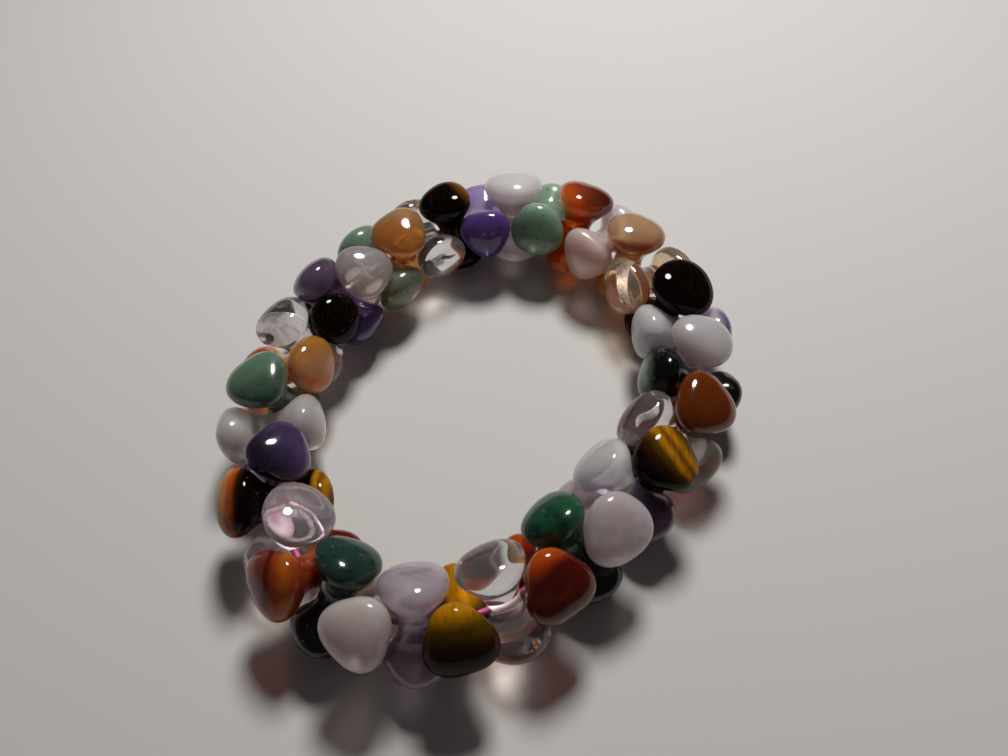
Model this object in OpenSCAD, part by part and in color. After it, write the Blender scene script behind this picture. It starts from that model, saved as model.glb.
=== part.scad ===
// Stretch bracelet of polished double-headed stone beads, drilled across their waists
// and threaded on one elastic cord. It lies flat on a table, and the origin is on the
// table under the middle of the bracelet. +Z is up.

/* [Loop] */
// Mean distance of the cord from the middle of the loop
loop_r = 28.3; // [28.3:0.1:31]
// Height of the cord above the table
cord_height = 6.95; // [6.95:0.05:9]

/* [Beads] */
// Length of a bead from tip to tip
bead_l = 13.6; // [13:0.1:13.6]
// Width of a bead's waist, where it is drilled
waist_w = 4; // [3.6:0.1:4]
// How far a head domes out past its widest place
dome_h = 2.2; // [1.8:0.1:2.4]
// How long the flanks stay slim before they flare: 1 is an even curve
flank_hollow = 1.3; // [1.3:0.1:1.6]
// Squareness of the domes: 2 is an ellipse, more is flatter
dome_square = 2.4; // [2:0.1:3]
// Diameter of the drilled hole
bore_d = 1.3; // [1.1:0.1:1.5]
// Sides of a bead's cross-section
bead_sides = 12; // [10:1:12]

/* [Cord] */
// Diameter of the elastic cord
cord_d = 0.7; // [0.5:0.1:0.7]

/* [Hidden] */
// Directions round the loop are in degrees, clockwise from the far side.
// The loop isn't a true circle: each row adds a wave to its radius.
// Columns: waves round the loop, height (mm), direction of one crest
LOBES = [
    [1, 0.2, 24],
    [2, 3.6, 32],
    [3, 0.6, 87],
    [4, 0.8, 103]
];
// The waves push the bracelet this far off the middle, so it is moved back
off_middle = [0.6, -0.1];

// The beads, clockwise from the far side. Columns:
// stone,
// place: direction of the bead from the middle of the loop,
// roll: rise of the first head above the outward level line (degrees),
// lean: tilt of the first head along the cord (degrees),
// width of the heads (mm),
// corners: how three-cornered the heads are, and corner_at: where one corner points,
// oval: how oval the heads are, and oval_at: where the long way points (degrees)
BEADS = [
    ["rose_quartz",          11,  72,  -1, 8.4, 0.04,  40, 0.03,   0],
    ["green_aventurine",   19.5, -23,   2,   8, 0.03,  20,    0,   0],
    ["carnelian",          28.5,  65,   3, 8.1, 0.09,  35, 0.03,  35],
    ["rose_quartz",          38, -12,  -1, 7.7, 0.09, 100,    0,   0],
    ["carnelian",          46.5,  80,  -2, 7.9, 0.06,  40, 0.06,  40],
    ["clear_quartz",         56, -18,  -3, 8.1, 0.05,  85,    0,   0],
    ["tigers_eye",           66,  75,  10, 8.8, 0.03,  20,    0,   0],
    ["amethyst",           75.5, -10,   5, 7.3, 0.05,  60, 0.04,  16],
    ["rose_quartz",        84.5,  76,   3, 7.7, 0.03,  14, 0.08,  70],
    ["moss_agate",           93, -26,  -1, 7.4, 0.08,  50,    0,   0],
    ["carnelian",           103,  62,   3, 8.1, 0.08, 100,    0,   0],
    ["clear_quartz",      112.5, -34,  -2, 7.8, 0.04,  20, 0.05,  23],
    ["tigers_eye",        122.5,  68,   3, 7.8, 0.07, 100, 0.03,  97],
    ["amethyst",          133.5, -37,  -4, 7.6, 0.06,  30, 0.03,   0],
    ["rose_quartz",       145.5,  49,   9, 8.4, 0.06,  15, 0.03,  15],
    ["moss_agate",          156, -46,   1, 7.8, 0.05,  20,    0,   0],
    ["carnelian",           166,  52,   3, 8.1,  0.1,  25,    0,   0],
    ["clear_quartz",      175.5, -48,   1, 8.2, 0.05,  30,    0,   0],
    ["tigers_eye",          185,  44,   6, 8.1, 0.09,  35,    0,   0],
    ["amethyst",          193.5, -52,  -1, 7.8, 0.06,  15,    0,   0],
    ["rose_quartz",         202,  50,   1,   8, 0.08,   0,    0,   0],
    ["moss_agate",          211, -46,  -1, 7.7, 0.06,   0,    0,   0],
    ["carnelian",           219,  39,   0,   8, 0.08,  10,    0,   0],
    ["clear_quartz",        228, -60,   0, 8.4, 0.03,   0,    0,   0],
    ["tigers_eye",        237.5,  33,   3, 8.3,    0,   0,    0,   0],
    ["amethyst",          246.5, 117,  -4, 7.7, 0.08, 100,    0,   0],
    ["rose_quartz",       258.5,  -4,  -5, 7.3, 0.06,   0,    0,   0],
    ["green_aventurine",  268.5,  74,  -5,   8, 0.07, 100, 0.03, 100],
    ["carnelian",         278.5, -30,   0, 7.4, 0.03,   0, 0.05,  -8],
    ["clear_quartz",        288,  67,  -1, 7.5, 0.04,   0, 0.05,   0],
    ["tigers_eye",          298, 140,  -1,   7, 0.02,   0,    0,   0],
    ["amethyst",          307.5,  36,  -2, 7.3, 0.04,   0,    0,   0],
    ["rose_quartz",         317, 116,   0, 7.9, 0.06, 105,    0,   0],
    ["green_aventurine",  326.5,  14,   1, 7.2, 0.03,   0, 0.06, -20],
    ["carnelian",           336,  98,  -5, 7.9, 0.08,  30,    0,   0],
    ["clear_quartz",      344.5,  -1,   3, 7.3, 0.03,   0, 0.04,   0],
    ["tigers_eye",          353,  79,  -5, 7.6, 0.05,  60, 0.02,   0],
    ["amethyst",          362.5, -18,   7, 7.4, 0.08,  88,    0,   0]
];

COLOURS = [
    ["rose_quartz", "#d9c6cf"],
    ["green_aventurine", "#6f9f80"],
    ["moss_agate", "#1d3f33"],
    ["carnelian", "#b5431a"],
    ["clear_quartz", "#d5d3d8"],
    ["tigers_eye", "#4a3112"],
    ["amethyst", "#6a4a97"]
];

// Named columns of a row of BEADS
function stone(bead) = bead[0];
function place(bead) = bead[1];
function roll(bead) = bead[2];
function lean(bead) = bead[3];
function head_r(bead) = bead[4] / 2;
function corners(bead) = bead[5];
function corner_at(bead) = bead[6];
function oval(bead) = bead[7];
function oval_at(bead) = bead[8];

// The cord's path: its distance from the middle in a direction, the change of that
// distance for each radian, the point there, and where the cord then heads
function sum(list, i = 0) = i < len(list) ? list[i] + sum(list, i + 1) : 0;
function reach(a) = loop_r + sum([for (l = LOBES) l[1] * cos(l[0] * (a - l[2]))]);
function reach_change(a) = sum([for (l = LOBES) -l[0] * l[1] * sin(l[0] * (a - l[2]))]);
function on_path(a) = [
    reach(a) * sin(a) - off_middle[0],
    reach(a) * cos(a) - off_middle[1],
    cord_height
];
function heading(a) = atan2(
    reach_change(a) * cos(a) - reach(a) * sin(a),
    reach_change(a) * sin(a) + reach(a) * cos(a)
);

// Half a bead from the tip of one head to the waist, as [how far along, how wide]:
// the dome first, then the flank
DOME_STEPS = [28, 52, 72, 90];
FLANK_STEPS = [0.78, 0.54, 0.28];
waist_r = waist_w / 2;
rim_at = bead_l / 2 - dome_h;
function dome_ring(bead, turn) = [
    rim_at + dome_h * pow(cos(turn), 2 / dome_square),
    head_r(bead) * sin(turn)
];
function flank_ring(bead, k) = [
    rim_at * k,
    waist_r + (head_r(bead) - waist_r) * (1 - cos(180 * pow(k, flank_hollow))) / 2
];
function half_rings(bead) = concat(
    [for (turn = DOME_STEPS) dome_ring(bead, turn)],
    [for (k = FLANK_STEPS) flank_ring(bead, k)]
);
function rings(bead) = let (half = half_rings(bead)) concat(
    half,
    [[0, waist_r]],
    [for (i = [len(half) - 1 : -1 : 0]) [-half[i][0], half[i][1]]]
);

// The cross-section's outline, softer at the waist than at the heads
function outline(bead, along, a) =
    let (k = min(1, abs(along) / rim_at))
    1 + (0.35 + 0.65 * k) * (corners(bead) * cos(3 * (a - corner_at(bead)))
        + oval(bead) * cos(2 * (a - oval_at(bead))));

// One bead standing on end round the origin, with its waist on Z = 0
module body(bead) {
    ring_list = rings(bead);
    n = len(ring_list);
    s = bead_sides;
    points = concat(
        [[0, 0, bead_l / 2]],
        [for (ring = ring_list, j = [0 : s - 1])
            let (a = 360 * j / s, r = ring[1] * outline(bead, ring[0], a))
            [r * cos(a), r * sin(a), ring[0]]],
        [[0, 0, -bead_l / 2]]
    );
    last = n * s + 1;
    polyhedron(points, concat(
        [for (j = [0 : s - 1]) [0, 1 + (j + 1) % s, 1 + j]],
        [for (i = [0 : n - 2], j = [0 : s - 1])
            let (a = 1 + i * s + j, b = 1 + i * s + (j + 1) % s)
            each [[a, b, b + s], [a, b + s, a + s]]],
        [for (j = [0 : s - 1])
            let (a = 1 + (n - 1) * s)
            [last, a + j, a + (j + 1) % s]]
    ));
}

// The bead in its place: turned about the cord by its roll, tilted by its lean, and
// drilled along the cord
module bead(bead) {
    colour = COLOURS[search([stone(bead)], COLOURS)[0]][1];
    color(colour)
        translate(on_path(place(bead)))
            rotate([0, 0, heading(place(bead))])
                difference() {
                    rotate([roll(bead) - 90, 0, 0])
                        rotate([0, lean(bead), 0])
                            body(bead);
                    rotate([0, 90, 0])
                        cylinder(d = bore_d, h = 2 * head_r(bead), center = true, $fn = 24);
                }
}

// The cord: a thin tube swept round the whole loop
CORD_SIDES = 8;
CORD_RINGS = 76;
module elastic_cord() {
    points = [for (i = [0 : CORD_RINGS - 1], j = [0 : CORD_SIDES - 1])
        let (a = 360 * i / CORD_RINGS, t = heading(a), turn = 360 * j / CORD_SIDES)
        on_path(a) + cord_d / 2 * [-sin(t) * cos(turn), cos(t) * cos(turn), sin(turn)]];
    faces = [for (i = [0 : CORD_RINGS - 1], j = [0 : CORD_SIDES - 1])
        let (
            a = i * CORD_SIDES + j,
            b = i * CORD_SIDES + (j + 1) % CORD_SIDES,
            c = ((i + 1) % CORD_RINGS) * CORD_SIDES + (j + 1) % CORD_SIDES,
            d = ((i + 1) % CORD_RINGS) * CORD_SIDES + j
        )
        each [[a, c, b], [a, d, c]]];
    color("#9c3a66") polyhedron(points, faces);
}

function bead_name(i) = str("bead_", i < 9 ? "0" : "", i + 1, "_", stone(BEADS[i]));

for (i = [0 : len(BEADS) - 1])
    bead(BEADS[i]);
elastic_cord();
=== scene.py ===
# %% [markdown]
# # A stretch bracelet of polished stone beads
#
# The bracelet is a string of thirty-eight gemstone beads. Each bead is a small dumbbell
# with two fat heads and a slim waist, and it is drilled across the waist. On the cord each
# bead stands about square to the next, so a head sits in the hollow of its neighbour's
# waist, and two rows of heads show from above. We load the measured model as a fixed
# frame, and then make each bead again as a smooth surface with a stone's own finish.

# %% Load the frame
import math

import bpy
import numpy as np
from mathutils import Matrix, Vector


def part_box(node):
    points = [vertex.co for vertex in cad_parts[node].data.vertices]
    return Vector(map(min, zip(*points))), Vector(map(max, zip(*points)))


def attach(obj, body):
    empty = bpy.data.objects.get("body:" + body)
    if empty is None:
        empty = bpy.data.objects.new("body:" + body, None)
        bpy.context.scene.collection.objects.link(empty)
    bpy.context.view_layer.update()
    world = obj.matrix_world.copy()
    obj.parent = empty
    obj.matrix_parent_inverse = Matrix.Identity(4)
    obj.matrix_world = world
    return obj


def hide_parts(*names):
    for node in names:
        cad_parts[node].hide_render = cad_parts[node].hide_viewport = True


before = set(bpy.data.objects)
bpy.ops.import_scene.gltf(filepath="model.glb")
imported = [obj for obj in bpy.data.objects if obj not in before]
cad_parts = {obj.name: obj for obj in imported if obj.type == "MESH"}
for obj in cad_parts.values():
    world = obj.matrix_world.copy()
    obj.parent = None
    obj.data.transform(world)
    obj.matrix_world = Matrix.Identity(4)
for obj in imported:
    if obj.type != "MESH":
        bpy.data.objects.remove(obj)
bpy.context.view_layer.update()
print("nodes in the frame:", len(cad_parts))

# %% [markdown]
# ## Units and colours
#
# Blender works in metres, and a bead is easier to think of in millimetres, so lengths
# below are written as a number times MM. Colours are written as sRGB hex values, the way a
# colour picker shows them. Blender's shaders want linear light, so one function turns a hex
# value into that.

# %% Units and colours
MM = 0.001


def linear(hex_colour):
    """sRGB hex to linear RGBA: each channel c is c / 12.92 below 0.04045, and
    ((c + 0.055) / 1.055) to the power 2.4 above it."""
    c = np.array([int(hex_colour[i:i + 2], 16) / 255 for i in (1, 3, 5)])
    c = np.where(c <= 0.04045, c / 12.92, ((c + 0.055) / 1.055) ** 2.4)
    return (*c.tolist(), 1.0)


print("mid grey in linear light:", round(linear("#808080")[0], 3))

# %% [markdown]
# ## The camera
#
# The photograph was taken with a telephone held over the near edge of the bracelet. Its
# wide lens makes the near beads look larger than the far ones, so the focal length matters
# as much as the angle. It is kept in pixels of a picture 1008 pixels wide, and turned into
# the millimetres of Blender's 36 mm sensor. The camera also turns a little about its own
# line of sight.

# %% Camera
PICTURE_W = 1008
FOCAL_PX = 790
SENSOR_MM = 36
LOOK_AT = np.array([2.72, 5.71, 0]) * MM
DISTANCE = 113.6 * MM
ELEVATION = math.radians(55.8)
CAMERA_ROLL = math.radians(-2.45)

backward = np.array([0, -math.cos(ELEVATION), math.sin(ELEVATION)])
unrolled_up = np.array([0, math.sin(ELEVATION), math.cos(ELEVATION)])
unrolled_right = np.array([1.0, 0, 0])
right = math.cos(CAMERA_ROLL) * unrolled_right + math.sin(CAMERA_ROLL) * unrolled_up
up = math.cos(CAMERA_ROLL) * unrolled_up - math.sin(CAMERA_ROLL) * unrolled_right


def in_picture(degrees):
    """Unit vector that points that way in the photograph: 0 is up, 90 is right."""
    a = math.radians(degrees)
    return math.sin(a) * right + math.cos(a) * up


lens = bpy.data.cameras.new("camera")
lens.sensor_width = SENSOR_MM
lens.lens = FOCAL_PX / PICTURE_W * SENSOR_MM
lens.clip_start = 5 * MM
camera = bpy.data.objects.new("camera", lens)
bpy.context.scene.collection.objects.link(camera)
stand = np.eye(4)
stand[:3, 0], stand[:3, 1], stand[:3, 2] = right, up, backward
stand[:3, 3] = LOOK_AT + DISTANCE * backward
camera.matrix_world = Matrix(stand.tolist())
bpy.context.scene.camera = camera
camera_at = np.round(stand[:3, 3] / MM, 1).tolist()
print("lens:", round(lens.lens, 1), "mm; camera at", camera_at, "mm")

# %% [markdown]
# ## The path of the cord
#
# A stretch bracelet that is put down never lies in a true circle: this one rests as a soft
# oval. A circle with a few waves added to its radius gives any such loop from a handful of
# numbers. Directions are in degrees, clockwise from the far side, as on a clock face.

# %% Path of the cord
LOOP_R = 28.3 * MM
CORD_HEIGHT = 6.95 * MM
OFF_MIDDLE = np.array([0.6, -0.1]) * MM  # the waves push the loop this far, so it moves back
PATH_STEPS = 720
# waves round the loop, height in mm, direction of one crest
LOBES = [
    (1, 0.2, 24),
    (2, 3.6, 32),
    (3, 0.6, 87),
    (4, 0.8, 103),
]


def on_path(a):
    """The cord's point in direction a, in radians: reach * (sin a, cos a) at the cord's
    height, where reach is LOOP_R plus height * cos(waves * (a - crest)) for each lobe."""
    reach = LOOP_R + sum(h * MM * np.cos(n * (a - math.radians(c))) for n, h, c in LOBES)
    x = reach * np.sin(a) - OFF_MIDDLE[0]
    y = reach * np.cos(a) - OFF_MIDDLE[1]
    return np.stack([x, y, np.full_like(x, CORD_HEIGHT)], axis=-1)


def heading(a, step=1e-4):
    """The unit vector along the cord, clockwise: the difference of two points on the path
    a small step apart, divided by its length."""
    v = on_path(a + step) - on_path(a - step)
    return v / np.linalg.norm(v, axis=-1, keepdims=True)


whole_turn = np.linspace(0, 2 * math.pi, PATH_STEPS + 1)
steps = np.diff(on_path(whole_turn), axis=0)
print("cord length:", round(np.linalg.norm(steps, axis=1).sum() / MM, 1), "mm")

# %% [markdown]
# ## The table of beads
#
# Every bead was cut and tumbled on its own, so heads differ in width, and many are a little
# three-cornered or oval instead of round. One row for each bead holds how it sits on the
# cord and how its heads depart from a circle. The rows are the same as the solids' own.

# %% Table of beads
BEAD_L = 13.6 * MM
WAIST_W = 4 * MM
DOME_H = 2.2 * MM
FLANK_HOLLOW = 1.3
DOME_SQUARE = 2.4
BORE_D = 1.3 * MM
CORD_D = 0.7 * MM
COLUMNS = "stone place roll lean width corners corner_at oval oval_at".split()
# place: direction of the bead from the middle, clockwise from the far side (degrees)
# roll: rise of the first head above the outward level line; lean: its tilt along the cord
# width: of the heads, in mm; corners, oval: shares of the radius; _at: degrees
ROWS = [
    ("rose_quartz",          11,  72,  -1, 8.4, 0.04,  40, 0.03,   0),
    ("green_aventurine",   19.5, -23,   2,   8, 0.03,  20,    0,   0),
    ("carnelian",          28.5,  65,   3, 8.1, 0.09,  35, 0.03,  35),
    ("rose_quartz",          38, -12,  -1, 7.7, 0.09, 100,    0,   0),
    ("carnelian",          46.5,  80,  -2, 7.9, 0.06,  40, 0.06,  40),
    ("clear_quartz",         56, -18,  -3, 8.1, 0.05,  85,    0,   0),
    ("tigers_eye",           66,  75,  10, 8.8, 0.03,  20,    0,   0),
    ("amethyst",           75.5, -10,   5, 7.3, 0.05,  60, 0.04,  16),
    ("rose_quartz",        84.5,  76,   3, 7.7, 0.03,  14, 0.08,  70),
    ("moss_agate",           93, -26,  -1, 7.4, 0.08,  50,    0,   0),
    ("carnelian",           103,  62,   3, 8.1, 0.08, 100,    0,   0),
    ("clear_quartz",      112.5, -34,  -2, 7.8, 0.04,  20, 0.05,  23),
    ("tigers_eye",        122.5,  68,   3, 7.8, 0.07, 100, 0.03,  97),
    ("amethyst",          133.5, -37,  -4, 7.6, 0.06,  30, 0.03,   0),
    ("rose_quartz",       145.5,  49,   9, 8.4, 0.06,  15, 0.03,  15),
    ("moss_agate",          156, -46,   1, 7.8, 0.05,  20,    0,   0),
    ("carnelian",           166,  52,   3, 8.1,  0.1,  25,    0,   0),
    ("clear_quartz",      175.5, -48,   1, 8.2, 0.05,  30,    0,   0),
    ("tigers_eye",          185,  44,   6, 8.1, 0.09,  35,    0,   0),
    ("amethyst",          193.5, -52,  -1, 7.8, 0.06,  15,    0,   0),
    ("rose_quartz",         202,  50,   1,   8, 0.08,   0,    0,   0),
    ("moss_agate",          211, -46,  -1, 7.7, 0.06,   0,    0,   0),
    ("carnelian",           219,  39,   0,   8, 0.08,  10,    0,   0),
    ("clear_quartz",        228, -60,   0, 8.4, 0.03,   0,    0,   0),
    ("tigers_eye",        237.5,  33,   3, 8.3,    0,   0,    0,   0),
    ("amethyst",          246.5, 117,  -4, 7.7, 0.08, 100,    0,   0),
    ("rose_quartz",       258.5,  -4,  -5, 7.3, 0.06,   0,    0,   0),
    ("green_aventurine",  268.5,  74,  -5,   8, 0.07, 100, 0.03, 100),
    ("carnelian",         278.5, -30,   0, 7.4, 0.03,   0, 0.05,  -8),
    ("clear_quartz",        288,  67,  -1, 7.5, 0.04,   0, 0.05,   0),
    ("tigers_eye",          298, 140,  -1,   7, 0.02,   0,    0,   0),
    ("amethyst",          307.5,  36,  -2, 7.3, 0.04,   0,    0,   0),
    ("rose_quartz",         317, 116,   0, 7.9, 0.06, 105,    0,   0),
    ("green_aventurine",  326.5,  14,   1, 7.2, 0.03,   0, 0.06, -20),
    ("carnelian",           336,  98,  -5, 7.9, 0.08,  30,    0,   0),
    ("clear_quartz",      344.5,  -1,   3, 7.3, 0.03,   0, 0.04,   0),
    ("tigers_eye",          353,  79,  -5, 7.6, 0.05,  60, 0.02,   0),
    ("amethyst",          362.5, -18,   7, 7.4, 0.08,  88,    0,   0),
]
beads = [dict(zip(COLUMNS, row), number=i + 1) for i, row in enumerate(ROWS)]
for bead in beads:
    bead["node"] = f"bead_{bead['number']:02d}_{bead['stone']}"
print("beads:", len(beads), "of", len({bead["stone"] for bead in beads}), "stones")

# %% [markdown]
# ## The shape of one bead
#
# Seen from the side, half a bead is a flank that stays slim near the waist and then flares,
# and a dome that closes it. Round the long axis its outline is a circle with two small
# waves added, which give the rounded corners of tumbled stone. Together they say how far
# the surface is from the long axis at any height and angle.

# %% Shape of one bead
RIM_AT = BEAD_L / 2 - DOME_H
WAIST_STRENGTH = 0.35  # how much of a head's corners the waist shows


def radius_at(bead, z):
    """Distance of an even bead's surface from its long axis at height z. Up to the rim it
    is waist + (head - waist) * (1 - cos(pi * k^hollow)) / 2 with k = |z| / rim; past it,
    head * sqrt(1 - u^square) with u the share of the dome's height; past the tip, none."""
    waist, head = WAIST_W / 2, bead["width"] * MM / 2
    k = np.clip(np.abs(z) / RIM_AT, 0, 1)
    u = np.clip((np.abs(z) - RIM_AT) / DOME_H, 0, 1)
    flank = waist + (head - waist) * (1 - np.cos(math.pi * k ** FLANK_HOLLOW)) / 2
    return np.where(np.abs(z) < RIM_AT, flank, head * np.sqrt(1 - u ** DOME_SQUARE))


def outline_at(bead, z, a):
    """Share by which the outline departs from a circle at height z and angle a round the
    long axis: 1 + strength * (corners * cos 3(a - corner_at) + oval * cos 2(a - oval_at)).
    The strength grows evenly from WAIST_STRENGTH at the waist to 1 at the rim."""
    share = np.clip(np.abs(z) / RIM_AT, 0, 1)
    strength = WAIST_STRENGTH + (1 - WAIST_STRENGTH) * share
    corner = bead["corners"] * np.cos(3 * (a - math.radians(bead["corner_at"])))
    oval = bead["oval"] * np.cos(2 * (a - math.radians(bead["oval_at"])))
    return 1 + strength * (corner + oval)


print("widest head:", max(bead["width"] for bead in beads), "mm")

# %% [markdown]
# ## A bead with a hole through it
#
# A drilled bead has the topology of a ring, so it can be one grid that closes on itself
# both ways. One way the grid runs round the drilled hole; the other way it leaves the hole
# at one mouth, passes over the outside, enters at the other mouth and comes back along the
# wall of the hole. The outside is found by walking out from the middle of the bead until
# the surface is met: a few dozen halvings find that distance for all points at once. The
# grid is then spaced evenly along the surface, so that the flanks get as many faces as the
# domes. Cutting the hole with a Boolean would also work, but leaves ragged faces at its rim.

# %% Surface of a drilled bead
AROUND = 104  # points round the hole
OVER = 96  # points over the outside, from mouth to mouth
FINE = 361  # points of the first, finer walk, from which the even steps are read
HALVINGS = 40
MOUTH_ROUND = 0.15 * MM
MOUTH_TURNS = [30, 60, 90]  # degrees
WALL_RINGS = 6
NO_LENGTH = 1e-12


def turned(axis, degrees):
    """The 3 by 3 matrix that turns about the axis x, y or z."""
    return np.array(Matrix.Rotation(math.radians(degrees), 3, axis.upper()))


def walk_out(bead, b, f):
    """Points of the surface for cord-axis angle b and round-the-hole angle f. The ray's
    direction is (cos b, sin b cos f, sin b sin f), turned back by the lean; the distance t
    is where t * (its part across the long axis) = radius_at * outline_at."""
    ray = np.stack([np.cos(b), np.sin(b) * np.cos(f), np.sin(b) * np.sin(f)], axis=-1)
    own = ray @ turned("y", -bead["lean"]).T
    across = np.hypot(own[..., 0], own[..., 1])
    a = np.arctan2(own[..., 1], own[..., 0])
    low, high = np.zeros_like(a), np.full_like(a, BEAD_L)
    for _ in range(HALVINGS):
        t = (low + high) / 2
        z = t * own[..., 2]
        inside = t * across < radius_at(bead, z) * outline_at(bead, z, a)
        low, high = np.where(inside, t, low), np.where(inside, high, t)
    return ray * low[..., None]


def even_steps(points, values, count, closed):
    """Values at equal steps of length along rows of points: the running length is summed
    between neighbours, and each target length is looked up in it."""
    gaps = np.linalg.norm(np.diff(points, axis=-2), axis=-1)
    run = np.concatenate([np.zeros_like(gaps[..., :1]), np.cumsum(gaps, axis=-1)], axis=-1)
    share = np.arange(count) / (count if closed else count - 1)
    wanted = run[..., -1:] * share
    i = (run[..., None, :] < wanted[..., None]).sum(axis=-1).clip(1, run.shape[-1] - 1)
    before, after = np.take_along_axis(run, i - 1, -1), np.take_along_axis(run, i, -1)
    part = (wanted - before) / np.maximum(after - before, NO_LENGTH)
    v0, v1 = np.take_along_axis(values, i - 1, -1), np.take_along_axis(values, i, -1)
    return v0 + (v1 - v0) * part


def drilled_surface(bead):
    """Grid of points (round the hole, over the outside and back through it). The outside
    starts and ends where it is bore_r + MOUTH_ROUND from the hole's axis; the mouth is a
    quarter turn of rounding; the wall is straight."""
    bore_r = BORE_D / 2
    f_fine = np.linspace(0, 2 * math.pi, FINE)
    belt = walk_out(bead, np.full(FINE, math.pi / 2), f_fine)
    f = even_steps(belt, f_fine, AROUND, closed=True)[:, None]
    b_fine = np.broadcast_to(np.linspace(0, math.pi, FINE), (AROUND, FINE))
    arc = walk_out(bead, b_fine, np.broadcast_to(f, b_fine.shape))
    clear_of_hole = np.hypot(arc[..., 1], arc[..., 2]) > bore_r + MOUTH_ROUND
    first = clear_of_hole.argmax(axis=1)
    last = FINE - 1 - clear_of_hole[:, ::-1].argmax(axis=1)
    kept = np.clip(np.arange(FINE), first[:, None], last[:, None])
    b = even_steps(np.take_along_axis(arc, kept[..., None], 1),
                   np.take_along_axis(b_fine, kept, 1), OVER, closed=False)
    outside = walk_out(bead, b, np.broadcast_to(f, b.shape))
    enter, leave = outside[:, -1, 0] + MOUTH_ROUND, outside[:, 0, 0] - MOUTH_ROUND
    turn = np.radians(MOUTH_TURNS)
    rings_r = bore_r + MOUTH_ROUND * (1 - np.sin(turn))
    dip = MOUTH_ROUND * np.cos(turn)
    wall_x = enter[:, None] + (leave - enter)[:, None] * np.linspace(0, 1, WALL_RINGS)
    x = np.concatenate([enter[:, None] - dip, wall_x[:, 1:-1],
                        leave[:, None] + dip[::-1]], axis=1)
    r = np.concatenate([rings_r, np.full(WALL_RINGS - 2, bore_r), rings_r[::-1]])
    wall = np.stack([x, r * np.cos(f), r * np.sin(f)], axis=-1)
    return np.concatenate([outside, wall], axis=1)


def ring_faces(rows, columns):
    """Quads of a grid that closes on itself both ways: (i, j), (i, j+1), (i+1, j+1),
    (i+1, j), with each index taken modulo its count."""
    i, j = np.meshgrid(np.arange(rows), np.arange(columns), indexing="ij")
    i1, j1 = (i + 1) % rows, (j + 1) % columns
    corners = [i * columns + j, i * columns + j1, i1 * columns + j1, i1 * columns + j]
    return np.stack(corners, axis=-1).reshape(-1, 4)


def mesh_piece(name, points, faces):
    """A smooth-shaded mesh object at the origin, from an array of points and a list of
    faces."""
    mesh = bpy.data.meshes.new(name)
    mesh.from_pydata(points.reshape(-1, 3).tolist(), [], faces)
    mesh.polygons.foreach_set("use_smooth", np.ones(len(faces), bool))
    piece = bpy.data.objects.new(name, mesh)
    bpy.context.scene.collection.objects.link(piece)
    return piece


def volume_of(points, faces):
    """Volume inside quads, from tetrahedra to the origin: the sum of a . (b x c) / 6 over
    each quad's two triangles. It is above zero when the faces point outwards."""
    p = points.reshape(-1, 3)[faces]
    first = np.einsum("ij,ij->i", p[:, 0], np.cross(p[:, 1], p[:, 2]))
    second = np.einsum("ij,ij->i", p[:, 0], np.cross(p[:, 2], p[:, 3]))
    return (first + second).sum() / 6


print("a bead's grid:", AROUND, "points round its hole,", OVER, "over its outside")

# %% [markdown]
# ## Thirty-eight beads
#
# A bead is made round its own middle, then turned: about the cord by its roll, and with the
# cord's heading to its place on the loop. The place goes into the mesh, and the object
# stays at the origin, as the frame's own nodes do. Each bead's box is then set against its
# node's box, which shows that the surface is where the solid is.

# %% Make the beads
def make_bead(bead):
    """One bead's piece: the drilled surface, turned by Rz(heading) Rx(roll - 90) and moved
    to its place on the path."""
    a = np.array(math.radians(bead["place"]))
    along = heading(a)
    turn = turned("z", math.degrees(math.atan2(along[1], along[0])))
    turn = turn @ turned("x", bead["roll"] - 90)
    bead["centre"] = on_path(a)
    points = drilled_surface(bead) @ turn.T + bead["centre"]
    bead["columns"] = points.shape[1]
    faces = ring_faces(AROUND, bead["columns"])
    if volume_of(points - bead["centre"], faces) < 0:
        faces = faces[:, ::-1]
    bead["volume"] = abs(volume_of(points - bead["centre"], faces))
    piece = mesh_piece(f"{bead['node']}.polished", points, faces.tolist())
    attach(piece, "root")
    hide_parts(bead["node"])
    return piece


for bead in beads:
    bead["piece"] = make_bead(bead)
off_box = []
for bead in beads:
    corners = np.array([v.co for v in bead["piece"].data.vertices])
    low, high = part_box(bead["node"])
    off_box.append(np.abs([corners.min(0) - low, corners.max(0) - high]).max())
faces_made = sum(len(bead["piece"].data.polygons) for bead in beads)
stone_mm3 = sum(bead["volume"] for bead in beads) / MM ** 3
print("quads:", faces_made, "; most off its node's box:", round(max(off_box) / MM, 2), "mm",
      "; stone:", round(stone_mm3), "cubic mm")

# %% [markdown]
# ## The elastic cord
#
# The cord is stretch cord under a millimetre thick. It hides in the drilled holes and shows
# only between two waists. A tube swept along the path is enough: a small circle at each
# point of the path, set square to the cord's heading.

# %% Make the cord
CORD_SIDES = 16
CORD_RINGS = 304


def cord_surface():
    """Points at path(a) + r * (cos t * sideways + sin t * up) for a grid of a and t, where
    sideways is square to the heading and level."""
    a = np.arange(CORD_RINGS) * 2 * math.pi / CORD_RINGS
    t = np.arange(CORD_SIDES) * 2 * math.pi / CORD_SIDES
    along = heading(a)
    sideways = np.stack([-along[:, 1], along[:, 0], np.zeros(CORD_RINGS)], axis=-1)
    level = np.cos(t)[None, :, None] * sideways[:, None]
    rise = np.sin(t)[None, :, None] * np.array([0, 0, 1.0])
    return on_path(a)[:, None] + CORD_D / 2 * (level + rise)


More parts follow.
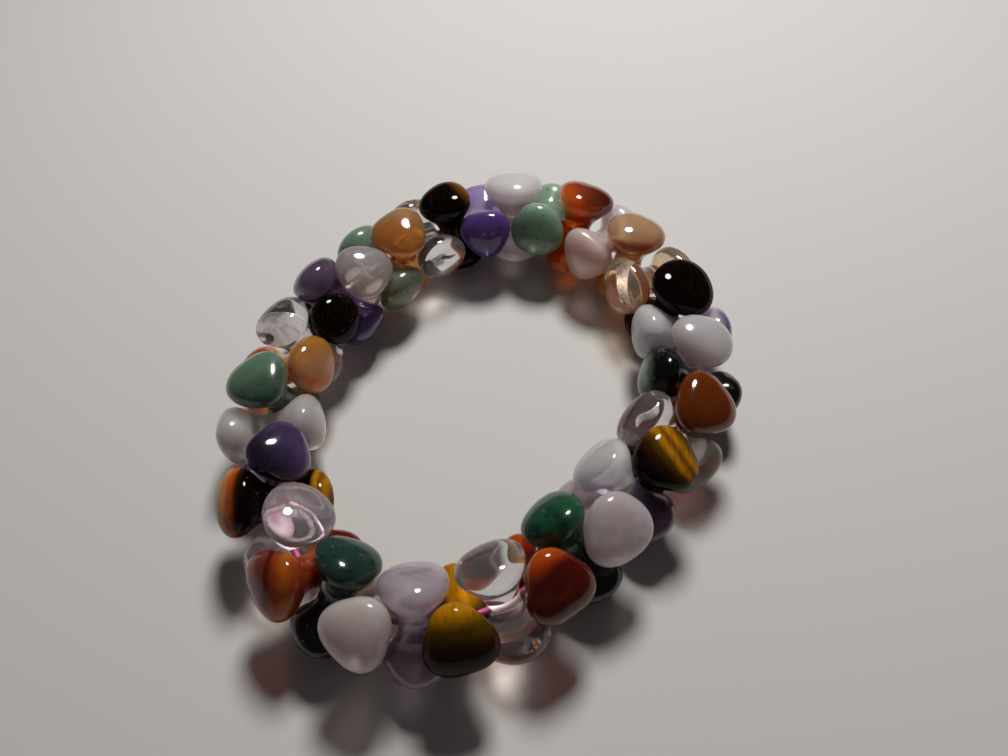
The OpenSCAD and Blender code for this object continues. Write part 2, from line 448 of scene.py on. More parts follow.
cord_points = cord_surface()
cord_faces = ring_faces(CORD_RINGS, CORD_SIDES)
if volume_of(cord_points, cord_faces) < 0:
    cord_faces = cord_faces[:, ::-1]
cord = mesh_piece("elastic_cord.pink", cord_points, cord_faces.tolist())
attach(cord, "root")
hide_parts("elastic_cord")
print("cord faces:", len(cord_faces))

# %% [markdown]
# ## Veils inside the clearer beads
#
# Five of the clearer beads hold thin sheets that catch the light. In four of them the sheets
# are healed cracks; the two in bead 30 are painted light, the silver one standing for the
# bright floor seen through the head and the dark one for a dark neighbour and its shadow.
# A sheet is white or silvery, or dark and speckled. It is a flattened ball, stretched and
# bent in a wave.
# It stands inside the bead and faces the viewer, a few millimetres from the bead's middle.

# %% Make the veils
VEIL_THICK = 0.12  # mm
VEIL_AROUND = 48
VEIL_RINGS = 23
VEIL_END = 88  # degrees of tilt at the first and last ring, each closed by a flat face
VEIL_COLUMNS = "bead right up out toward long wide sway tone".split()
# right, up, out: from the bead's middle as the camera sees it, in mm
# toward: the way it runs in the photograph, in degrees; long, wide, sway: in mm
VEIL_ROWS = [
    (6, -3.9, -0.6, 2.9, 163, 5.6, 1.7, 0.5, "pale"),
    (6, -4.6, 1.6, 3.0, 55, 1.8, 0.3, 0.1, "dark"),
    (12, -3.2, 3.2, 2.7, 45, 3.4, 0.8, 0.2, "silver"),
    # bead 30: painted light, not cracks: the silver sheet stands for the bright floor seen
    # through the head, the dark one for a dark neighbour and its shadow seen through it
    (30, -2.3, 2.4, 2.4, 78, 4.6, 2.2, 0.15, "silver"),
    (30, -2.5, 4.4, 3.0, 70, 3.6, 0.9, 0.15, "dark"),
    (33, 1.5, 1.2, 4.4, 125, 4.0, 0.5, 0.35, "silver"),
    (33, 1.9, 1.5, 4.0, 70, 2.2, 0.5, 0.15, "pale"),
    (36, 3.0, -3.0, 2.7, 75, 2.6, 0.5, 0.2, "dark"),
]
veils = [dict(zip(VEIL_COLUMNS, row)) for row in VEIL_ROWS]


def make_veil(veil):
    """A closed sheet: a unit ball (x, y, z) scaled to long, wide and VEIL_THICK, with
    sway * sin(2 pi x / long) added both across it and through it. Its rings run from one
    face to the other, and a flat face closes each end."""
    bead = beads[veil["bead"] - 1]
    turn = np.linspace(0, 2 * math.pi, VEIL_AROUND, endpoint=False)
    tilt = np.radians(np.linspace(-VEIL_END, VEIL_END, VEIL_RINGS))[:, None]
    x = np.cos(tilt) * np.cos(turn) * veil["long"] / 2
    bend = veil["sway"] * np.sin(2 * math.pi * x / veil["long"])
    y = np.cos(tilt) * np.sin(turn) * veil["wide"] / 2 + bend
    z = np.sin(tilt) * VEIL_THICK / 2 + bend
    along, across = in_picture(veil["toward"]), in_picture(veil["toward"] + 90)
    middle = veil["right"] * right + veil["up"] * up + veil["out"] * backward
    points = np.stack([x, y, z], axis=-1) @ np.stack([along, across, backward]) + middle
    quads = ring_faces(VEIL_RINGS, VEIL_AROUND)[:-VEIL_AROUND]
    ends = [quads[:VEIL_AROUND, 0][::-1], quads[-VEIL_AROUND:, 3]]
    faces = [face.tolist() for face in [*quads, *ends]]
    if volume_of(points, quads) < 0:
        faces = [face[::-1] for face in faces]
    name = f"{bead['node']}.{veil['tone']}_veil"
    piece = mesh_piece(name, points * MM + bead["centre"], faces)
    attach(piece, "root")
    return piece


for veil in veils:
    veil["piece"] = make_veil(veil)
print("veils:", [veil["piece"].name for veil in veils])

# %% [markdown]
# ## How the stones' materials are made
#
# All seven stones are kinds of quartz. They were cut, drilled and tumbled with finer and
# finer grit, so they share one surface: glassy, with small sharp highlights, and the
# refractive index of quartz. What differs is the inside. Clear stone lets light through and
# bends it, which is transmission. Milky stone scatters it a few millimetres deep, which is
# subsurface scattering. Most beads do some of both, and a rough base under a smooth clear
# coat gives exactly that: a cloudy inside under a polished skin.
#
# Patterns run through the stone, so they read object coordinates, moved to the bead's
# middle and counted in millimetres. One function adds any node and links its inputs.

# %% Material helpers
QUARTZ_IOR = 1.544
POLISH = 0.03  # roughness of the polished coat
EDGE = 0.28  # weight of the sheen that draws a cloudy stone's paler edge
WAVE_H = 0.03 * MM  # height of the soft waves that tumbling leaves
WAVES_PER_MM = 0.35
BAND_REACH = 8  # mm on each side of a bead's middle that its bands cover
SEED_STEP = 7.3  # sets the beads apart in the noise, so no two share a pattern
VEIN_SEED = 50  # sets the veins apart from the bands
MIX_A, MIX_B, MIX_OUT = 6, 7, 2  # places of the colour sockets of a Mix node


def add(tree, kind, inputs=None, **settings):
    """A node of that kind, with its settings by name. An input given as a socket is
    linked, and any other value is set on the node."""
    node = tree.nodes.new(kind)
    for name, value in settings.items():
        setattr(node, name, value)
    for name, value in (inputs or {}).items():
        if isinstance(value, bpy.types.NodeSocket):
            tree.links.new(value, node.inputs[name])
        else:
            node.inputs[name].default_value = value
    return node


def new_material(name):
    """An empty material and its node tree."""
    material = bpy.data.materials.new(name)
    material.use_nodes = True
    material.node_tree.nodes.clear()
    return material, material.node_tree


def from_middle(tree, bead):
    """Millimetres from the bead's middle: (object coordinates - centre) / MM."""
    where = add(tree, "ShaderNodeTexCoord").outputs["Object"]
    inputs = {"Vector": where, "Location": bead["centre"], "Scale": (MM, MM, MM)}
    return add(tree, "ShaderNodeMapping", inputs, vector_type="TEXTURE").outputs[0]


def stone_material(bead):
    """An empty material named after the bead, its tree, and the millimetres from the
    bead's middle."""
    material, tree = new_material(f"{bead['stone']}_{bead['number']:02d}")
    return material, tree, from_middle(tree, bead)


def bands(tree, bead, place, toward, stops, tints, wander=2.0, size=5.0):
    """Colour in bands square to a direction. The band coordinate is place . direction plus
    wander * noise, in mm, where the noise's patches are size mm across, and stops are the
    places of the tints along it."""
    along = add(tree, "ShaderNodeVectorMath", {0: place, 1: in_picture(toward)},
                operation="DOT_PRODUCT").outputs["Value"]
    drift = add(tree, "ShaderNodeTexNoise", {
        "Vector": place, "W": SEED_STEP * bead["number"], "Scale": 1 / size, "Detail": 2.0,
    }, noise_dimensions="4D").outputs[0]
    moved = add(tree, "ShaderNodeMath", {0: drift, 1: wander, 2: along},
                operation="MULTIPLY_ADD").outputs[0]
    share = add(tree, "ShaderNodeMapRange", {
        "Value": moved,
        "From Min": wander / 2 - BAND_REACH,
        "From Max": wander / 2 + BAND_REACH,
    }).outputs[0]
    ramp = add(tree, "ShaderNodeValToRGB", {"Fac": share})
    ramp.color_ramp.interpolation = "EASE"
    elements = ramp.color_ramp.elements
    while len(elements) < len(stops):
        elements.new(0.5)
    for element, (mm, tint) in zip(elements, stops):
        element.position = (mm + BAND_REACH) / (2 * BAND_REACH)
        element.color = linear(tints[tint])
    return ramp.outputs["Color"]


def veined(tree, bead, place, under, tint, size, low, high, amount,
           stretch=(1, 1, 1), detail=4.0, seed=0.0):
    """The colour under with a tint laid over it where noise is high. The noise's patches
    are size mm across, and narrower along an axis where stretch is over 1. The tint comes
    in smoothly as the noise rises from low to high, up to that amount."""
    squeezed = add(tree, "ShaderNodeVectorMath", {0: place, 1: stretch},
                   operation="MULTIPLY").outputs[0]
    noise = add(tree, "ShaderNodeTexNoise", {
        "Vector": squeezed,
        "W": SEED_STEP * bead["number"] + VEIN_SEED + seed,
        "Scale": 1 / size,
        "Detail": detail,
        "Roughness": 0.55,
    }, noise_dimensions="4D").outputs[0]
    share = add(tree, "ShaderNodeMapRange", {
        "Value": noise, "From Min": low, "From Max": high, "To Max": amount,
    }, interpolation_type="SMOOTHSTEP").outputs[0]
    return add(tree, "ShaderNodeMix", {"Factor": share, MIX_A: under, MIX_B: linear(tint)},
               data_type="RGBA").outputs[MIX_OUT]


def polished(tree, bead, place, colour, clear, cloudy, glow=0.0, glow_tint=(1, 1, 1),
             shine=0.5, shadow=None, skin=1.0, edge=None):
    """The shader of a tumbled stone. clear is the share of light that passes through,
    cloudy is how much that light is blurred, glow is how far the rest scatters, in mm,
    and glow_tint favours the colours that scatter furthest. shine is the strength of the
    base's own highlight. shadow is the colour of the lamp's light after one face of the
    stone: a bead casts a coloured shadow. skin is the weight of the polished coat, which a
    clear stone doesn't need. edge is the colour that a cloudy stone takes where it is
    thin, drawn as a soft sheen."""
    waves = add(tree, "ShaderNodeTexNoise", {
        "Vector": place, "W": SEED_STEP * bead["number"], "Scale": WAVES_PER_MM, "Detail": 1.0,
    }, noise_dimensions="4D").outputs[0]
    normal = add(tree, "ShaderNodeBump", {
        "Height": waves, "Strength": 1.0, "Distance": WAVE_H,
    }).outputs[0]
    shader = add(tree, "ShaderNodeBsdfPrincipled", {
        "Base Color": colour,
        "Roughness": cloudy,
        "IOR": QUARTZ_IOR,
        "Specular IOR Level": shine,
        "Transmission Weight": clear,
        "Subsurface Weight": 1.0 if glow else 0.0,
        "Subsurface Radius": glow_tint,
        "Subsurface Scale": glow * MM,
        "Coat Weight": skin,
        "Coat Roughness": POLISH,
        "Coat IOR": QUARTZ_IOR,
        "Sheen Weight": EDGE if edge else 0.0,
        "Sheen Roughness": 0.4,
        "Sheen Tint": linear(edge or "#ffffff"),
        "Normal": normal,
        "Coat Normal": normal,
    })
    surface = shader.outputs[0]
    if shadow:
        from_lamp = add(tree, "ShaderNodeLightPath").outputs["Is Shadow Ray"]
        passed = add(tree, "ShaderNodeBsdfTransparent", {"Color": linear(shadow)}).outputs[0]
        surface = add(tree, "ShaderNodeMixShader", {
            0: from_lamp, 1: surface, 2: passed,
        }).outputs[0]
    add(tree, "ShaderNodeOutputMaterial", {"Surface": surface})


print("every stone's refractive index:", QUARTZ_IOR)

# %% [markdown]
# ## Rose quartz
#
# Rose quartz is milky: countless tiny needles inside it scatter the light, so a bead looks
# soft and lit from within, palest where it is thin. The colour is a breath of pink.

# %% Rose quartz
ROSE = {
    "milk": "#e2d8d8",
    "blush": "#e4c6bc",
    "mauve": "#cfbfc0",
    "peach": "#dccac2",
    "frost": "#e2dad8",
    "needle": "#efe8e8",
    "shadow": "#807476",
    "edge": "#d8c8c8",
}
# bead: direction of its bands in the photograph, the bands in mm, how clear it is, how
# cloudy it is
ROSE_BEADS = {
    1: (180, [(-4, "milk"), (4, "milk")], 0.3, 0.25),
    4: (180, [(-4, "milk"), (0, "blush"), (4, "blush")], 0.4, 0.25),
    9: (225, [(-4, "milk"), (3, "mauve")], 0.5, 0.2),
    15: (0, [(-4, "mauve"), (4, "mauve")], 0.45, 0.2),
    21: (0, [(-4, "mauve"), (4, "peach")], 0.45, 0.2),
    27: (90, [(-6, "frost"), (5, "milk")], 0.55, 0.2),
    33: (0, [(-4, "blush"), (4, "milk")], 0.75, 0.12),
}


def rose_quartz(bead):
    """Milky pink quartz: bands of two pale pinks under drifting white veils."""
    toward, stops, clear, cloudy = ROSE_BEADS[bead["number"]]
    material, tree, place = stone_material(bead)
    pink = bands(tree, bead, place, toward, stops, ROSE)
    pink = veined(tree, bead, place, pink, ROSE["needle"], 3.0, 0.5, 0.75, 0.5)
    polished(tree, bead, place, pink, clear, cloudy, glow=8.0, glow_tint=(1.0, 0.85, 0.85),
             shine=0.1, shadow=ROSE["shadow"], skin=0.6, edge=ROSE["edge"])
    return material


print("rose quartz beads:", list(ROSE_BEADS))

# %% [markdown]
# ## Green aventurine
#
# Aventurine is quartz full of tiny flakes of green mica. They give it an even grey-green
# with darker specks, and a slight sparkle that is too fine to show at this distance.

# %% Green aventurine
AVENTURINE = {
    "mint": "#92aa90",
    "sage": "#7f9480",
    "fern": "#6a866e",
    "shade": "#4d6854",
    "grey": "#7c8472",
    "fleck": "#2c4636",
    "shadow": "#4a524c",
    "edge": "#a8b8a0",
}
# bead: direction of its bands, the bands in mm, how clear it is
AVENTURINE_BEADS = {
    2: (0, [(-5, "sage"), (-1, "sage"), (2, "mint")], 0.3),
    28: (330, [(-5, "fern"), (-1, "shade"), (1, "shade"), (4, "fern")], 0.4),
    34: (315, [(-5, "grey"), (0, "grey"), (4, "sage")], 0.45),
}


def green_aventurine(bead):
    """Grey-green quartz: soft bands, cloudy patches, and dark specks up to 0.5 mm across."""
    toward, stops, clear = AVENTURINE_BEADS[bead["number"]]
    material, tree, place = stone_material(bead)
    green = bands(tree, bead, place, toward, stops, AVENTURINE, wander=3)
    green = veined(tree, bead, place, green, AVENTURINE["mint"], 1.5, 0.5, 0.8, 0.3)
    green = veined(tree, bead, place, green, AVENTURINE["fleck"], 0.5, 0.6, 0.68, 0.7, seed=9)
    polished(tree, bead, place, green, clear, cloudy=0.25, glow=8.0, glow_tint=(0.8, 1.0, 0.9),
             shine=0.1, shadow=AVENTURINE["shadow"], skin=0.6, edge=AVENTURINE["edge"])
    return material


print("green aventurine beads:", list(AVENTURINE_BEADS))

# %% [markdown]
# ## Moss agate
#
# Moss agate is chalcedony with dark green minerals grown through it like moss in ice. Where
# they are thick it is nearly black; thin places glow emerald or a misty grey. Pale specks
# lie near the surface.

# %% Moss agate
MOSS = {
    "ink": "#040706",
    "emerald": "#1e5238",
    "sea": "#203e34",
    "mist": "#7c8a80",
    "shadow": "#16241d",
    "edge": "#4c5e56",
}
# bead: direction of its bands, the bands in mm, how clear it is
MOSS_BEADS = {
    10: (270, [(-5, "ink"), (-2, "ink"), (5.2, "ink"), (6.4, "mist")], 0.1),
    16: (315, [(-5, "ink"), (-2, "ink"), (1, "emerald"), (6, "emerald")], 0.2),
    22: (0, [(-5, "ink"), (-1, "ink"), (1.5, "sea"), (5, "sea")], 0.2),
}


def moss_agate(bead):
    """Dark green agate: bands from ink to emerald, mossy patches and pale specks."""
    toward, stops, clear = MOSS_BEADS[bead["number"]]
    material, tree, place = stone_material(bead)
    green = bands(tree, bead, place, toward, stops, MOSS, wander=1.5)
    green = veined(tree, bead, place, green, MOSS["ink"], 2.0, 0.45, 0.7, 0.7, detail=6.0)
    green = veined(tree, bead, place, green, MOSS["mist"], 0.5, 0.62, 0.7, 0.5, seed=9)
    polished(tree, bead, place, green, clear, cloudy=0.25, glow=3.0, glow_tint=(0.6, 1.0, 0.8),
             shine=0.05, shadow=MOSS["shadow"], skin=0.6, edge=MOSS["edge"])
    return material


print("moss agate beads:", list(MOSS_BEADS))

# %% [markdown]
# ## Carnelian
#
# Carnelian is chalcedony coloured by iron. It is as translucent as barley sugar, so a thick
# head is deep red or brown and its edges and waist glow orange. Some of these beads are
# banded from red through amber to a milky peach. Where lamp light passes through a head and
# gathers at its far side, that glow is painted into the bands as amber.

# %% Carnelian
CARNELIAN = {
    "ember": "#5a1000",
    "wine": "#7c3424",
    "flame": "#dc5e0c",
    "rust": "#984018",
    "brown": "#7c3a10",
    # amber: the stone's own amber, and also painted glow where lamp light comes through a head
    "amber": "#e09018",
    "honey": "#d8984e",
    "peach": "#dcb48e",
    "dusk": "#7a4030",
    "toffee": "#7a3808",
    "copper": "#b06818",
    "shadow": "#7a4c3c",
    "edge": "#a04c1c",
}
# bead: direction of its bands, the bands in mm, how clear it is
# the amber at the lower end of beads 5, 29 and 35, and on the left of bead 3, is painted glow:
# lamp light gathered by the head, drawn as colour
CARNELIAN_BEADS = {
    3: (250, [(-4.5, "ember"), (-2, "rust"), (0, "flame"), (1.5, "amber"), (3.5, "flame"),
              (6, "rust")], 0.6),
    5: (180, [(-6, "peach"), (-1.5, "peach"), (-0.5, "brown"), (0.5, "honey"), (6, "amber")],
        0.6),
    11: (135, [(-6, "toffee"), (3, "toffee"), (6, "rust")], 0.5),
    17: (150, [(-6, "flame"), (-3.5, "flame"), (-1, "ember"), (3, "ember"), (5, "wine"),
               (7, "dusk")], 0.5),
    23: (90, [(-5, "dusk"), (-4, "dusk"), (-3.4, "ember"), (-2.4, "rust"), (-1, "copper"),
              (0.5, "rust"), (3, "ember")], 0.35),
    29: (150, [(-5, "flame"), (-2, "amber"), (0, "honey"), (3, "peach"), (5, "amber")], 0.65),
    35: (180, [(-5, "peach"), (-2, "honey"), (1, "honey"), (4, "amber")], 0.7),
}


def carnelian(bead):
    """Translucent orange chalcedony: wandering bands with browner patches, and an amber glow
    painted at the far end of some heads.
    """
    toward, stops, clear = CARNELIAN_BEADS[bead["number"]]
    material, tree, place = stone_material(bead)
    orange = bands(tree, bead, place, toward, stops, CARNELIAN, wander=3)
    orange = veined(tree, bead, place, orange, CARNELIAN["brown"], 2.5, 0.5, 0.8, 0.4)
    polished(tree, bead, place, orange, clear, cloudy=0.12, glow=10.0, glow_tint=(1.0, 0.45, 0.2),
             shine=0.1, shadow=CARNELIAN["shadow"], skin=0.45, edge=CARNELIAN["edge"])
    return material


print("carnelian beads:", list(CARNELIAN_BEADS))

# %% [markdown]
# ## Clear quartz
#
# Rock crystal is as clear as glass, so it shows what lies behind and beside it, bent and
# upside down, and a trace of the colour of its neighbours. Some of that trace is painted:
# the peach body of bead 6 and the red-brown bands of beads 12 and 18 are painted refraction
# of the carnelian beside them.

# %% Clear quartz
CRYSTAL = {
    "water": "#f4f2f2",
    "pink": "#f0e0e6",
    "warm_refraction": "#f0cda4",
    "red_refraction": "#a8685c",
    "veil": "#c9c4c8",
    "shadow": "#e0dcda",
}
# bead: direction of its bands, the bands in mm, the share of light its haze scatters
# the warm tint of bead 6 and the red-brown bands of beads 12 and 18 are painted refraction: the
# carnelian beside each, drawn into the bead's own colour
CRYSTAL_BEADS = {
    6: (90, [(-3, "warm_refraction"), (2, "warm_refraction"), (5, "water")], 0.1),
    12: (298, [(-4, "water"), (5.6, "water"), (6.4, "red_refraction")], 0.05),
    18: (169, [(-4, "water"), (4.5, "water"), (5.4, "red_refraction"), (6, "red_refraction"), (6.6, "water")],
         0.05),
    24: (0, [(-4, "water"), (4, "pink")], 0.12),
    30: (90, [(-4, "water"), (4, "water")], 0.03),
    36: (90, [(-4, "water"), (4, "water")], 0.03),
}


def clear_quartz(bead):
    """Rock crystal: nearly all light passes, bent, with a faint tint and fainter veils; three
    beads also carry painted refraction of the carnelian beside them.
    """
    toward, stops, haze = CRYSTAL_BEADS[bead["number"]]
    material, tree, place = stone_material(bead)
    water = bands(tree, bead, place, toward, stops, CRYSTAL)
    water = veined(tree, bead, place, water, CRYSTAL["veil"], 2.0, 0.55, 0.75, 0.6)
    polished(tree, bead, place, water, clear=1 - haze, cloudy=0.0, glow=10.0,
             shadow=CRYSTAL["shadow"], skin=0.0)
    return material


print("clear quartz beads:", list(CRYSTAL_BEADS))

# %% [markdown]
# ## Tiger's eye
#
# Tiger's eye is quartz that grew through fine parallel fibres. Where the fibres lie across
# the light a golden band shines under the polish; along the light the stone is nearly
# black. The bands are drawn as colour, so their gold is partly the stone's own colour and
# partly a painted sheen that stays where it is drawn. Fine streaks run along the fibres, and
# the clear coat stands for the polish over a silkier stone.

# %% Tiger's eye
TIGER = {
    "black": "#040201",
    "brown": "#2a1406",
    "bark": "#74440e",
    "gold": "#b07408",
    "olive": "#4a3404",
    "sand": "#dcb88a",
    "caramel": "#cc8c44",
    "orange": "#b4501c",
    "edge": "#3a2c14",
}
# bead: direction of its bands, the bands in mm
TIGER_BEADS = {
    7: (0, [(-6, "black"), (6, "black")]),
    13: (52, [(-6, "black"), (-0.5, "black"), (0.8, "brown"), (1.8, "olive"), (2.6, "gold"),
              (3.3, "bark"), (3.9, "gold"), (4.8, "olive")]),
    19: (350, [(-6, "olive"), (-4, "brown"), (-1.5, "brown"), (0.5, "olive"), (3, "gold")]),
    # bead 25: the sand, caramel and orange bands are the stone's tan, made lighter to stand for
    # lamp light that comes through the stone to its unlit left side: partly painted light
    25: (90, [(-6.2, "sand"), (-5, "caramel"), (-3.6, "orange"), (-2.8, "brown"),
              (-2.2, "black"), (3.8, "black"), (4.5, "gold"), (5.2, "bark"), (6, "gold"),
              (7, "brown")]),
    31: (135, [(-6, "black"), (5, "black")]),
    37: (45, [(-5, "black"), (-2, "black"), (3, "black"), (5, "bark")]),
}


def tigers_eye(bead):
    """Banded silky quartz: bands of gold to black, with streaks 0.4 mm wide along the
    fibres, under a polished coat."""
    toward, stops = TIGER_BEADS[bead["number"]]
    material, tree, place = stone_material(bead)
    bark = bands(tree, bead, place, toward, stops, TIGER, wander=1.2)
    bark = veined(tree, bead, place, bark, TIGER["brown"], 1.6, 0.45, 0.7, 0.4,
                  stretch=(4, 0.6, 4))
    polished(tree, bead, place, bark, clear=0.0, cloudy=0.4, shine=0.0, skin=0.35,
             edge=TIGER["edge"])
    return material


print("tiger's eye beads:", list(TIGER_BEADS))

# %% [markdown]
# ## Amethyst
#
# Amethyst is violet quartz. Its colour lies in layers, so one bead may run from deep violet
# to white, and a translucent head shows soft darker bands inside.

# %% Amethyst
AMETHYST = {
    "deep": "#2c1c34",
    "violet": "#64507c",
    "purple": "#583c80",
    "dusky": "#66526a",
    "plum": "#745a6e",
    "lilac": "#9684a2",
    "light": "#b09cc8",
    "lavender": "#d2c6cc",
    "mauve": "#b098a4",
    "pearl": "#e6e1e0",
    "shadow": "#5e5666",
    "edge": "#a898b0",
}
# bead: direction of its bands, the bands in mm, how clear it is
AMETHYST_BEADS = {
    8: (90, [(-5, "pearl"), (0, "pearl"), (4, "lavender"), (6, "violet")], 0.35),
    14: (126, [(-6, "pearl"), (-1, "pearl"), (1, "lilac"), (5, "plum")], 0.5),
    20: (180, [(-4, "lavender"), (0, "mauve"), (5, "mauve")], 0.55),
    26: (60, [(-5, "violet"), (-1, "violet"), (1, "deep"), (6, "violet")], 0.55),
    32: (315, [(-6, "purple"), (-2, "purple"), (1, "dusky"), (6, "dusky")], 0.6),
    38: (180, [(-6, "light"), (-1, "light"), (1, "purple"), (6, "purple")], 0.35),
}


def amethyst(bead):
    """Violet quartz: layers of violet and white, with darker bands inside."""
    toward, stops, clear = AMETHYST_BEADS[bead["number"]]
    material, tree, place = stone_material(bead)
    violet = bands(tree, bead, place, toward, stops, AMETHYST, wander=2.5)
    violet = veined(tree, bead, place, violet, AMETHYST["deep"], 3.0, 0.5, 0.75, 0.4,
                    stretch=(0.6, 1.5, 1.5))
    polished(tree, bead, place, violet, clear, cloudy=0.12, glow=8.0, glow_tint=(0.9, 0.75, 1.0),
             shine=0.1, shadow=AMETHYST["shadow"], skin=0.6, edge=AMETHYST["edge"])
    return material


print("amethyst beads:", list(AMETHYST_BEADS))

# %% [markdown]
# ## Elastic cord
#
# The cord is deep pink elastic, soft and a little satiny. It shows between two beads, and
# the walls of the holes in clear beads pick up its colour: they are drilled and never
# polished, so a pale pink tube shows inside each of them. That pink is painted onto the
# frosted walls, where it stands for the cord seen through them.

# %% Elastic cord
CORD_DEEP = "#8a2252"
CORD_LIGHT = "#b04a7c"
CORD_PATCH = 2.5 * MM
# BORE_PINK and BORE_PALE: painted refraction, the cord's pink as seen through the frosted wall of
# a hole
BORE_PINK = "#e6bcd0"
BORE_PALE = "#f4e2ea"
BORE_GRAIN = 0.5 * MM


def pink_elastic():
    """Extruded deep pink elastic: two close pinks, with a satin surface."""
    material, tree = new_material("pink_elastic")
    where = add(tree, "ShaderNodeTexCoord").outputs["Object"]
    haze = add(tree, "ShaderNodeTexNoise", {"Vector": where, "Scale": 1 / CORD_PATCH}).outputs[0]
    pink = add(tree, "ShaderNodeMix", {
        "Factor": haze, MIX_A: linear(CORD_DEEP), MIX_B: linear(CORD_LIGHT),
    }, data_type="RGBA").outputs[MIX_OUT]
    shader = add(tree, "ShaderNodeBsdfPrincipled", {
        "Base Color": pink, "Roughness": 0.35, "IOR": 1.5,
    })
    add(tree, "ShaderNodeOutputMaterial", {"Surface": shader.outputs[0]})
    return material


def drilled_wall():
    """The ground wall of a hole in clear quartz: frosted, with the cord's pink painted in, for
    the cord seen through it.
    """
    material, tree = new_material("drilled_quartz")
    where = add(tree, "ShaderNodeTexCoord").outputs["Object"]
    grain = add(tree, "ShaderNodeTexNoise", {"Vector": where, "Scale": 1 / BORE_GRAIN}).outputs[0]
    pink = add(tree, "ShaderNodeMix", {
        "Factor": grain, MIX_A: linear(BORE_PINK), MIX_B: linear(BORE_PALE),
    }, data_type="RGBA").outputs[MIX_OUT]
    shader = add(tree, "ShaderNodeBsdfPrincipled", {
        "Base Color": pink, "Roughness": 0.5, "IOR": QUARTZ_IOR, "Transmission Weight": 0.5,
    })
    add(tree, "ShaderNodeOutputMaterial", {"Surface": shader.outputs[0]})
    return material


print("cord:", CORD_DEEP, "and", CORD_LIGHT, "; walls of the holes:", BORE_PINK, "and", BORE_PALE)

# %% [markdown]
# ## Veils
#
# A healed crack in quartz is a sheet of tiny bubbles. Seen one way it is white or silvery,
# and seen another way it is dark with bright specks. The two sheets in bead 30 take these
# finishes as painted light: the silver one for the bright floor, the dark one for a dark
# neighbour and its shadow, both seen through the head.

# %% Veils
SPECK = 0.4 * MM
# tone: the sheet's colour, its specks' colour
VEIL_TONES = {
    "pale": ("#f2eef4", "#b0a8c0"),
    "silver": ("#dedad8", "#bcb6b2"),
    "dark": ("#4a4440", "#b4aca6"),
}


def bubble_veil(tone):
    """A satin sheet in one tone, with specks of a second tone up to 0.4 mm across."""
    material, tree = new_material(f"bubble_veil_{tone}")
    base, speck = VEIL_TONES[tone]
    where = add(tree, "ShaderNodeTexCoord").outputs["Object"]
    grain = add(tree, "ShaderNodeTexNoise", {"Vector": where, "Scale": 1 / SPECK}).outputs[0]
    share = add(tree, "ShaderNodeMapRange", {
        "Value": grain, "From Min": 0.5, "From Max": 0.65,
    }).outputs[0]
    colour = add(tree, "ShaderNodeMix", {
        "Factor": share, MIX_A: linear(base), MIX_B: linear(speck),
    }, data_type="RGBA").outputs[MIX_OUT]
    shader = add(tree, "ShaderNodeBsdfPrincipled", {
        "Base Color": colour, "Roughness": 0.35, "IOR": QUARTZ_IOR,
    })
    add(tree, "ShaderNodeOutputMaterial", {"Surface": shader.outputs[0]})
    return material


tones = {tone: bubble_veil(tone) for tone in VEIL_TONES}
for veil in veils:
    veil["piece"].data.materials.append(tones[veil["tone"]])
print("veils:", len(veils), "in", len(tones), "tones")

# %% [markdown]
# ## Finish every bead
#
# Each bead now gets the material of its own stone, made for it alone. A clear bead gets a
# second one: the last columns of its grid are the wall of its hole, and they take the
# ground, unpolished finish.

# %% Finish every bead
STONES = {
    "rose_quartz": rose_quartz,
    "green_aventurine": green_aventurine,
    "moss_agate": moss_agate,
    "carnelian": carnelian,
    "clear_quartz": clear_quartz,
    "tigers_eye": tigers_eye,
    "amethyst": amethyst,
}
for bead in beads:
    bead["piece"].data.materials.append(STONES[bead["stone"]](bead))
cord.data.materials.append(pink_elastic())
wall = drilled_wall()
for bead in beads:
    if bead["stone"] == "clear_quartz":
        mesh = bead["piece"].data
        mesh.materials.append(wall)
        column = np.arange(len(mesh.polygons)) % bead["columns"]
        mesh.polygons.foreach_set("material_index", (column >= OVER).astype(np.int32))
print("materials:", len(bpy.data.materials))

# %% [markdown]
# ## Floor and light
#
# The bracelet lies on a plain pale floor. One lamp, small enough to leave a crisp highlight
# on each head, stands above the far side, and a dim, even surrounding fills the shadows.

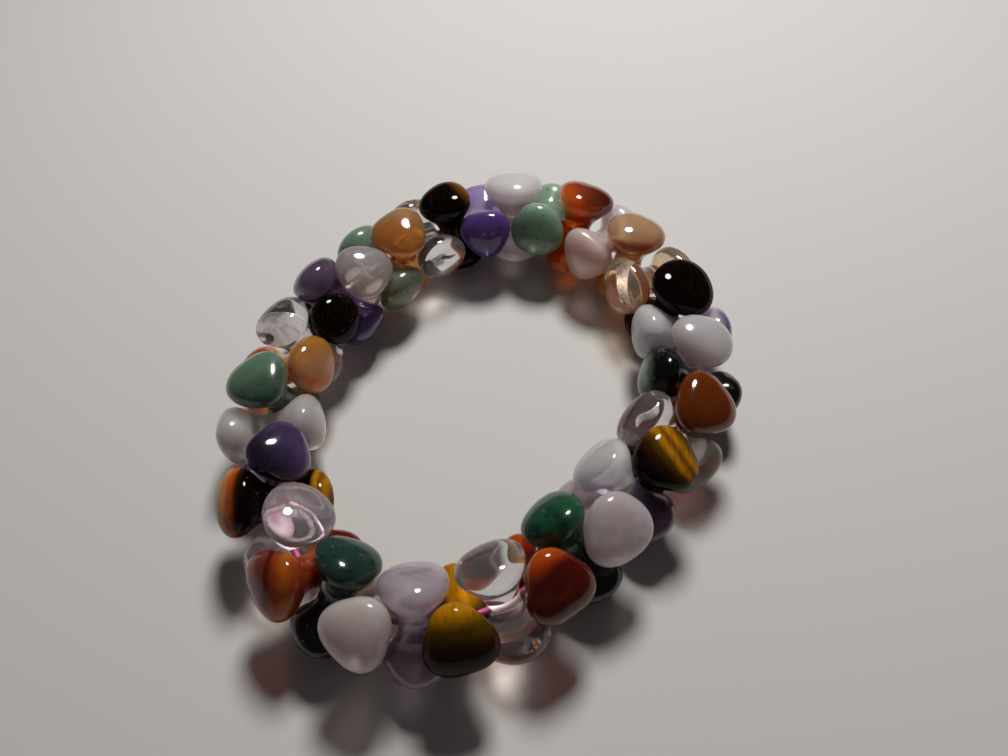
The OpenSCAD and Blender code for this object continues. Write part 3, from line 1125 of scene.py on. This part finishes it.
# %% Floor and light
FLOOR_SIDE = 3.0  # metres, as are the lamp's place and size
FLOOR_COLOUR = "#d3cfca"
LAMP_AT = (0.045, 0.19, 0.29)
LAMP_SIZE = 0.09
LAMP_POWER = 1.05  # watts
ROOM_COLOUR = "#dfdce0"
ROOM_STRENGTH = 0.06

half = FLOOR_SIDE / 2
floor_corners = [(-half, -half, 0), (half, -half, 0), (half, half, 0), (-half, half, 0)]
floor_mesh = bpy.data.meshes.new("floor")
floor_mesh.from_pydata(floor_corners, [], [(0, 1, 2, 3)])
floor = bpy.data.objects.new("floor", floor_mesh)
bpy.context.scene.collection.objects.link(floor)
material, tree = new_material("matt_paper")
shader = add(tree, "ShaderNodeBsdfPrincipled", {
    "Base Color": linear(FLOOR_COLOUR), "Roughness": 0.8,
})
add(tree, "ShaderNodeOutputMaterial", {"Surface": shader.outputs[0]})
floor.data.materials.append(material)


def lamp(name, place, size, power, aim=(0, 0, 0)):
    """A round area lamp of that diameter and power in watts, turned to face aim."""
    light = bpy.data.lights.new(name, "AREA")
    light.shape = "DISK"
    light.size = size
    light.energy = power
    holder = bpy.data.objects.new(name, light)
    bpy.context.scene.collection.objects.link(holder)
    back = np.array(place) - np.array(aim)
    back = back / np.linalg.norm(back)
    side = np.cross([0, 1, 0], back)
    side = side / np.linalg.norm(side)
    turn = np.eye(4)
    turn[:3, 0], turn[:3, 1], turn[:3, 2] = side, np.cross(back, side), back
    turn[:3, 3] = place
    holder.matrix_world = Matrix(turn.tolist())
    return holder


lamp("key_lamp", LAMP_AT, LAMP_SIZE, LAMP_POWER)
world = bpy.data.worlds.new("room")
world.use_nodes = True
room = world.node_tree.nodes["Background"].inputs
room["Color"].default_value = linear(ROOM_COLOUR)
room["Strength"].default_value = ROOM_STRENGTH
bpy.context.scene.world = world
bpy.context.scene.view_settings.view_transform = "Standard"
lamp_distance = round(float(np.linalg.norm(LAMP_AT)), 2)
print("lamp:", LAMP_POWER, "W,", lamp_distance, "m from the bracelet")
